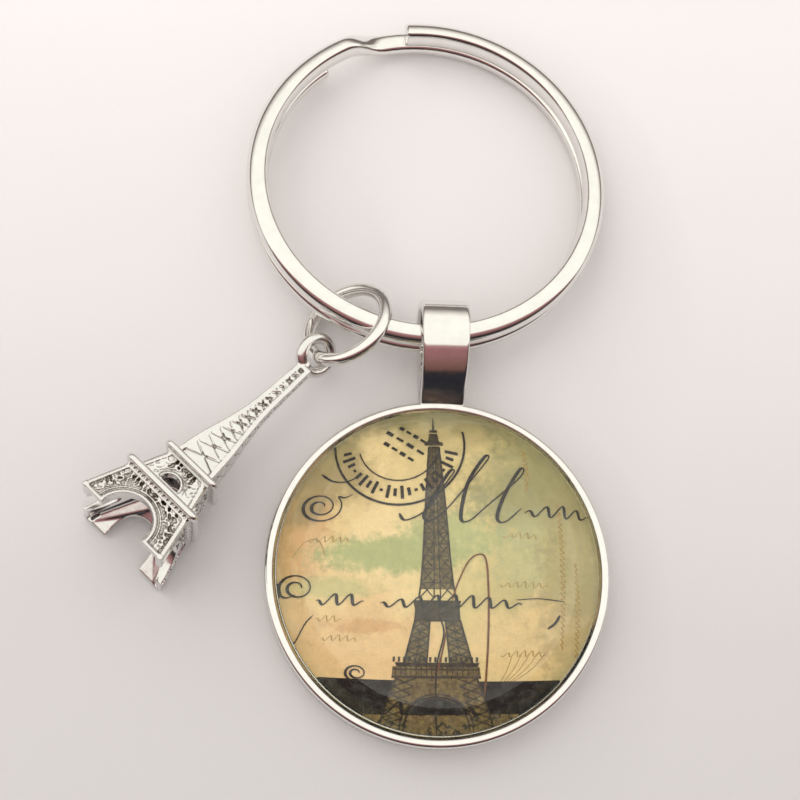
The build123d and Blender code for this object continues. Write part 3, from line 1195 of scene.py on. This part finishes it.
# Height and half width of the printed tower, top to foot
PRINTED_TOWER = ((11.2, 0.12), (10.0, 0.34), (9.4, 0.4), (6.5, 0.62), (3.9, 0.8), (1.0, 0.98))
PRINTED_TOWER += ((-1.4, 1.22), (-2.2, 1.4), (-3.2, 1.55), (-6.6, 2.5))
PRINTED_TOWER += ((-7.5, 2.95), (-9.2, 3.6), (-11.6, 4.3))


def tower_half(y):
    """Half width of the printed tower at height y."""
    for upper, lower in pairwise(PRINTED_TOWER):
        if lower[0] <= y <= upper[0]:
            return between(y, upper, lower)
    return PRINTED_TOWER[-1][1] if y < 0 else PRINTED_TOWER[0][1]


def tower_middle(y):
    return -0.32 + 0.012 * (11.8 - y)


PRINTED_AXIS = -0.22
PRINTED_FOOT = ((2.95, -7.55), (4.3, -11.4), (2.75, -11.4), (2.35, -10.0))
PRINTED_FOOT += ((1.4, -9.15), (0, -8.85), (0, -7.55))


def leg_inner(y):
    """Reach of the inner edge of the printed tower's middle legs."""
    return 0.55 + (-3.3 - y) * 0.09


def truss(ink, sign, upper, lower, cross, outer, inner):
    """A crossed bay between two levels (middle, outer reach, inner reach, y), with its two side bars."""
    m0, out0, in0, y0 = upper
    m1, out1, in1, y1 = lower
    for start, end, width in ((out0, in1, cross), (in0, out1, cross), (out0, out1, outer), (in0, in1, inner)):
        if width:
            ink.stroke([(m0 + sign * start, y0), (m1 + sign * end, y1)], width)


def draw_tower(body, dark):
    """A lattice tower: shaft, two platforms, four legs and an arch."""
    levels = [9.6 - 0.4 * i for i in range(28)]
    shaft = [(tower_middle(y) - tower_half(y), y) for y in levels]
    shaft += [(tower_middle(y) + tower_half(y), y) for y in reversed(levels)]
    body.shape(shaft)
    dark.stroke([(-0.33, 12.2), (-0.32, 10.9)], [0.06, 0.2])
    lantern = [(-0.62, 10.75), (-0.02, 10.75), (0.08, 10.1), (0.4, 9.95)]
    lantern += [(0.4, 9.7), (-1.0, 9.7), (-1.0, 9.95), (-0.72, 10.1)]
    dark.shape(lantern)
    dark.shape([(-0.6, 11.1), (-0.04, 11.1), (-0.02, 10.85), (-0.64, 10.85)])
    y = 9.6
    while y > -1.7:
        w0 = tower_half(y)
        drop = max(0.42, 0.95 * w0)
        low = y - drop
        w1 = tower_half(low)
        m0 = tower_middle(y)
        for sign in (-1, 1):
            lower = (tower_middle(low), w1, 0.18 * w1, low)
            truss(dark, sign, (m0, w0, 0.18 * w0, y), lower, 0.075, 0.13, 0.09)
        dark.stroke([(m0 - w0, y), (m0 + w0, y)], 0.07)
        y = low
    platform(dark, -2.0, -2.55, 1.72)
    dark.shape([(-1.75, -2.55), (1.45, -2.55), (1.5, -3.5), (-1.85, -3.5)])
    for sign in (-1, 1):
        leg = []
        for y in (-3.3, -4.4, -5.5, -6.7):
            leg.append((tower_middle(y) + sign * tower_half(y), y))
        for y in (-6.7, -5.5, -4.4, -3.3):
            leg.append((tower_middle(y) + sign * leg_inner(y), y))
        body.shape(leg)
        for i in range(6):
            y0 = -3.4 - 0.55 * i
            y1 = y0 - 0.55
            m = tower_middle(y0)
            upper = (m, tower_half(y0), leg_inner(y0), y0)
            lower = (m, tower_half(y1), leg_inner(y1), y1)
            truss(dark, sign, upper, lower, 0.09, 0.16, 0.13)
            centre = [(m + sign * (out + inner) / 2, y) for m, out, inner, y in (upper, lower)]
            dark.stroke(centre, 0.07)
    platform(dark, -6.45, -6.75, 3.05)
    body.shape([(-3.4, -6.75), (2.9, -6.75), (3.0, -7.6), (-3.5, -7.6)])
    for i in range(17):
        x = -3.2 + 6.0 * i / 16
        dark.stroke([(x, -6.75), (x, -7.45)], 0.07)
        dark.stroke([(x - 0.12, -6.4), (x - 0.1, -6.05)], 0.16)
    dark.stroke([(-3.45, -7.5), (3.0, -7.5)], 0.16)
    dark.stroke([(-3.4, -6.95), (2.9, -6.95)], 0.1)
    for sign in (-1, 1):
        body.shape([(sign * x + PRINTED_AXIS, y) for x, y in PRINTED_FOOT])
        for i in range(6):
            a = i / 6
            b = (i + 1) / 6
            levels = [(PRINTED_AXIS, 2.95 + 1.3 * f, 1.5 + 1.2 * f, -7.6 - 3.6 * f) for f in (a, b)]
            truss(dark, sign, *levels, 0.1, 0.15, 0)
    for radius in (2.45, 2.75):
        dark.stroke(arc_points(PRINTED_AXIS, -11.5, radius, 0, 180, 15), 0.12)


def platform(ink, top, low, half):
    middle = -0.18
    foot = half - 0.12
    ink.shape([(middle - half, top), (middle + half, top), (middle + foot, low), (middle - foot, low)])


def draw_ground(body, dark, draw):
    """Trees and ground across the foot of the picture."""
    top = [(-10.4, -8.6), (-9.9, -8.3), (-9.2, -8.8), (-8.6, -9.6)]
    top += [(-7.6, -10.3), (-6.6, -10.1), (-5.4, -10.3), (-4.2, -10.2)]
    top += [(3.9, -10.2), (5.0, -10.1), (6.2, -10.3), (7.4, -9.9), (8.4, -9.3), (9.4, -8.7), (10.2, -8.4)]
    ragged = []
    for (x0, y0), (x1, y1) in pairwise(top):
        for k in range(6):
            t = k / 6
            ragged.append((x0 + (x1 - x0) * t, y0 + (y1 - y0) * t + draw.uniform(-0.12, 0.16)))
    body.shape(ragged + [polar((0, 0), 13.2, a) for a in range(-32, -149, -3)])
    for _ in range(130):
        x = draw.uniform(-9.5, 9.5)
        top_y = -10.3 - 0.4 * draw.random()
        y = draw.uniform(-12.6, top_y)
        if math.hypot(x, y) > 12.6 or (abs(x) < 2.4 and y > -11.3):
            continue
        reach = draw.uniform(0.12, 0.42)
        lean = draw.uniform(-1.2, 1.2)
        drift = reach * math.sin(lean)
        dark.stroke([(x, y), (x + drift, y + reach), (x + 2 * drift, y + reach * 0.6)], [0.1, 0.28, 0.08])


def draw_postmark(ink):
    """Two rings with plain tick marks between them and bars in the middle."""
    centre = (-2.95, 9.95)
    for radius, width, begin, end in ((5.0, 0.17, 178, 372), (3.12, 0.1, 196, 352)):
        arc = arc_points(*centre, radius, begin, end, 60)
        ink.stroke([p for p in arc if math.hypot(*p) < 13.2], width)
    for i in range(22):
        turn = 192 + 156 * i / 21
        inner, outer = (3.55, 4.55) if i % 2 else (3.75, 4.35)
        if i % 5 == 3:
            inner, outer = 3.95, 4.15
        ink.stroke([polar(centre, inner, turn), polar(centre, outer, turn)], 0.24)
    for offset, reach in ((0.9, 1.3), (0.0, 1.9), (-0.9, 1.5)):
        lean = math.radians(-35)
        across = Vector((math.cos(lean), math.sin(lean)))
        middle = Vector((centre[0] + 0.6, centre[1] - 0.1)) + Vector((-across.y, across.x)) * offset
        for k in range(4):
            a = middle + across * (-reach + 2 * reach * k / 4)
            b = a + across * reach * 0.32
            ink.stroke([a, b], 0.2 if k % 2 else 0.3)


def draw_script(ink, draw):
    """Three rows of looping pen flourishes that spell nothing."""
    pen(ink, [(-8.9, 7.5), (-8.0, 6.9), (-6.9, 6.8), (-6.0, 7.2)], 0.09, 0.22)
    spiral(ink, (-8.9, 4.9), 0.35, 1.75, 2.1, 0.1, 0.27)
    coil = [(-2.9, 4.3), (-2.4, 3.8), (-0.9, 4.6)]
    for x, top in ((1.2, 7.6), (3.9, 8.9), (6.6, 8.0)):
        coil += [(x - 0.6, top - 0.9), (x, top), (x - 0.4, top - 0.1), (x - 1.7, top - 2.2), (x - 2.3, 4.1)]
        coil += [(x - 1.7, 3.8), (x - 0.4, 4.9)]
    pen(ink, coil, 0.1, 0.28, 8)
    waves(ink, 6.3, 11.6, 4.3, 0.95, 1.3, draw, 0.1, 0.24)
    spiral(ink, (-10.6, -1.2), 0.4, 1.5, 1.6, 0.1, 0.26)
    waves(ink, -9.2, -5.6, -2.4, 0.85, 1.2, draw, 0.1, 0.24)
    pen(ink, [(-11.4, -6.4), (-10.6, -5.0), (-9.9, -3.8), (-9.3, -3.2)], 0.09, 0.2)
    waves(ink, -4.4, 5.9, -2.5, 0.9, 1.25, draw, 0.1, 0.24)
    pen(ink, [(5.6, -1.9), (7.4, -1.8), (9.4, -2.0)], 0.06, 0.12)
    pen(ink, [(9.0, -3.0), (8.6, -3.6), (8.0, -4.0)], 0.1, 0.22)
    spiral(ink, (-6.1, -7.3), 0.25, 0.9, 1.8, 0.09, 0.2)
    waves(ink, -7.4, 3.0, -10.3, 1.0, 1.35, draw, 0.12, 0.26)
    pen(ink, [(5.2, -10.6), (5.2, -9.7), (6.2, -8.7), (7.0, -8.5)], 0.1, 0.22)
    pen(ink, [(-0.1, -3.0), (0.3, -4.3), (-0.2, -6.6), (-0.3, -9.0), (-0.2, -12.0)], 0.07, 0.12)


def draw_brown_lines(ink):
    """Older, browner pen marks: one tall loop and one short line."""
    loop = [(0.9, -2.0), (1.3, -0.8), (2.1, 0.8), (2.9, 1.35)]
    loop += [(3.4, 0.9), (3.55, -1.5), (3.5, -5.0), (3.3, -8.8)]
    pen(ink, loop, 0.11, 0.15, 14)
    pen(ink, [(0.5, -4.0), (0.2, -5.6), (-0.25, -7.4)], 0.08, 0.12)


def draw_faint(ink, draw):
    """Faint ripples that show through from the back of the paper."""
    for x, y0, y1 in ((9.1, -5.5, 5.6), (6.6, 6.2, 9.8), (10.3, -6.4, 1.0)):
        waves(ink, -y1, -y0, x, 0.35, 0.42, draw, 0.05, 0.12, turn=True)
    rows = ((-9.8, -6.6, 2.2), (-9.2, -7.2, -3.6), (4.2, 8.0, -1.0))
    rows += ((4.4, 7.8, -6.0), (-8.8, -6.0, -5.0), (4.6, 7.4, 2.6))
    for x0, x1, y in rows:
        waves(ink, x0, x1, y, 0.45, 0.6, draw, 0.04, 0.1)
    pen(ink, [(-11.0, 1.0), (-10.0, 2.2), (-8.9, 2.3), (-8.4, 1.2)], 0.05, 0.1)
    for i in range(5):
        pen(ink, [(4.2 + 0.1 * i, -8.3), (4.9 + 0.45 * i, -7.0), (5.3 + 0.7 * i, -5.9 + 0.1 * i)], 0.05, 0.09)


# Name, layer above the paper, darkest and lightest tone, and where one turns into the other
INKS = (
    ("faint_writing", 0, (168, 132, 66), (196, 164, 96), 0.5),
    ("ground", 0.5, (96, 76, 42), (150, 124, 74), 0.5),
    ("tower_body", 1, (84, 66, 34), (140, 118, 66), 0.5),
    ("tower_lines", 2, (44, 36, 22), (78, 64, 38), 0.5),
    ("pen_strokes", 3, (24, 18, 12), (48, 38, 24), 0.6),
    ("brown_loop", 2.5, (104, 56, 24), (140, 84, 40), 0.5),
)


def build_picture():
    low, high = box_mm("picture_disc")
    trim = 0.005
    rim = high.x + PAPER_GROW
    profile = [(0, low.z + trim), (rim, low.z + trim), (rim, high.z - trim), (0, high.z - trim)]
    skin = lathe(profile, 128)
    make_piece("picture_paper", skin, paper_material(), "pendant", "picture_disc", 30)
    draw = random.Random(SEED + 1)
    inks = {}
    for name, layer, dark_tone, light_tone, share in INKS:
        ink = Ink(high.z - trim + 0.002 + 0.014 * layer)
        inks[name] = (ink, ink_material("ink_" + name, tone(*dark_tone), tone(*light_tone), share))
    faint, ground, body, dark, script, brown = [ink for ink, _ in inks.values()]
    draw_faint(faint, draw)
    draw_ground(ground, dark, draw)
    draw_tower(body, dark)
    draw_postmark(script)
    draw_script(script, draw)
    draw_brown_lines(brown)
    for name, (ink, material) in inks.items():
        ink.build("print_" + name, material)


def build_film():
    low, high = box_mm("front_film")
    base = low.z + 0.07
    profile = [(0, base), (high.x, base), (high.x, high.z), (0, high.z)]
    skin = lathe(profile, 128)
    make_piece("front_film_sheet", skin, film_material, "pendant", "front_film", 30)


build_picture()
build_film()


for place in frame["nodes"]["back_film"].material_slots:
    place.material = film_material


# ---------------------------------------------------------------- stage

CAMERA_PLACE = (-0.01114, -0.01574, 0.09905)
CAMERA_TARGET = (-0.00285, 0.01418, 0.0)
KEY_PLACE = (-0.10, 0.14, 0.17)
KEY_TARGET = (0, 0.015, 0)
STRIP_GLOW = (10.0, 9.8, 9.4)
SKY_FILL = (0.80, 0.79, 0.785)


def build_stage():
    floor_mesh = bpy.data.meshes.new("floor")
    half = 0.6
    floor_mesh.from_pydata([(half * x, half * y, 0) for x, y in SQUARE], [], [(0, 1, 2, 3)])
    floor = link("floor", floor_mesh)
    floor.location.z = -0.00002
    material, tree, shader = new_material("pale_card")
    split = split_coords(tree)
    lift = calc(tree, "MULTIPLY_ADD", split["X"], 0.05, split["Y"])
    lift = calc(tree, "MULTIPLY_ADD", noise(tree, 60, 3), 0.006, lift)
    # Painted light: the card's colour grows darker towards -Y, the bottom of the view, and a little towards
    # -X. It stands in for the key light falling off across the floor.
    painted_falloff = ramp(tree, calc(tree, "MULTIPLY_ADD", lift, 12.0, 0.35), [
        (0.0, (0.685, 0.655, 0.635)),
        (0.35, (0.735, 0.695, 0.675)),
        (0.62, (0.845, 0.80, 0.78)),
        (1.0, (0.955, 0.905, 0.885)),
    ])
    weave = bump(tree, noise(tree, 2500, 3), 0.00002)
    fill(tree, shader, Base_Color=painted_falloff, Normal=weave, Roughness=0.75)
    floor.data.materials.append(material)


def area_light(name, place, target, size, power, colour):
    data = bpy.data.lights.new(name, "AREA")
    data.shape = "DISK"
    data.size = size
    data.energy = power
    data.color = colour
    lamp = link(name, data)
    lamp.location = place
    lamp.visible_glossy = False
    lamp.visible_transmission = False
    lamp.rotation_euler = (Vector(target) - Vector(place)).to_track_quat("-Z", "Y").to_euler()


def build_world():
    """Studio surround: white above, a warm dark band where the camera stands, pale below."""
    world = bpy.data.worlds.new("studio")
    bpy.context.scene.world = world
    world.use_nodes = True
    tree = world.node_tree
    split = split_coords(tree, "Generated")
    lean = calc(tree, "ARCTAN2", split["Y"], split["Z"])
    scaled = add(tree, "MapRange", Value=lean, From_Min=-math.pi / 2, From_Max=math.pi / 2)
    stops = [
        (0.0, (0.30, 0.27, 0.26)),
        (0.045, (0.10, 0.09, 0.09)),
        (0.075, (0.022, 0.022, 0.028)),
        (0.15, (0.03, 0.028, 0.032)),
        (0.168, (0.17, 0.085, 0.07)),
        (0.21, (0.24, 0.12, 0.11)),
        (0.25, (0.36, 0.165, 0.17)),
        (0.305, (0.46, 0.26, 0.25)),
        (0.33, (1.1, 1.08, 0.99)),
        (0.55, (1.16, 1.15, 1.06)),
        (0.76, (1.12, 1.10, 1.01)),
        (0.84, (0.74, 0.69, 0.64)),
        (0.92, (0.20, 0.165, 0.15)),
        (1.0, (0.30, 0.27, 0.25)),
    ]
    seen = ramp(tree, scaled.outputs["Result"], stops)
    low_sky = rise(tree, split["Z"], -0.05, 0.22)
    ringed = blend_colour(tree, low_sky, (0.16, 0.135, 0.12), seen)
    level = calc(tree, "MULTIPLY_ADD", split["Y"], 0.154, split["Z"])
    level = calc(tree, "MULTIPLY_ADD", split["X"], 0.123, level)
    strip = calc(tree, "MULTIPLY", rise(tree, level, 0.272, 0.28), rise(tree, level, 0.312, 0.303))
    aim = calc(tree, "MULTIPLY_ADD", split["X"], -0.75, calc(tree, "MULTIPLY", split["Y"], 0.66))
    strip = calc(tree, "MULTIPLY", strip, rise(tree, aim, 0.15, 0.35))
    path = add(tree, "LightPath").outputs
    first_bounce = calc(tree, "LESS_THAN", path["Ray Depth"], 1.5)
    lit = blend_colour(tree, calc(tree, "MULTIPLY", strip, first_bounce), ringed, STRIP_GLOW)
    plain = calc(tree, "MAXIMUM", path["Is Diffuse Ray"], path["Is Camera Ray"])
    feed(tree, tree.nodes["Background"], "Color", blend_colour(tree, plain, lit, SKY_FILL))


def build_camera():
    """Camera above the pendant's side, looking down at the whole keychain."""
    data = bpy.data.cameras.new("camera")
    data.lens = 56.925
    data.sensor_width = 36.0
    data.clip_start = 0.005
    camera = link("camera", data)
    eye = Vector(CAMERA_PLACE)
    back = (eye - Vector(CAMERA_TARGET)).normalized()
    right = Y_DIR.cross(back).normalized()
    up = back.cross(right)
    turn = Matrix((right, up, back)).transposed().to_4x4()
    camera.matrix_world = Matrix.Translation(eye) @ turn
    bpy.context.scene.camera = camera


build_stage()
build_world()
build_camera()
area_light("key", KEY_PLACE, KEY_TARGET, 0.24, 0.13, (1.0, 0.985, 0.97))
bpy.context.scene.view_settings.view_transform = "Standard"
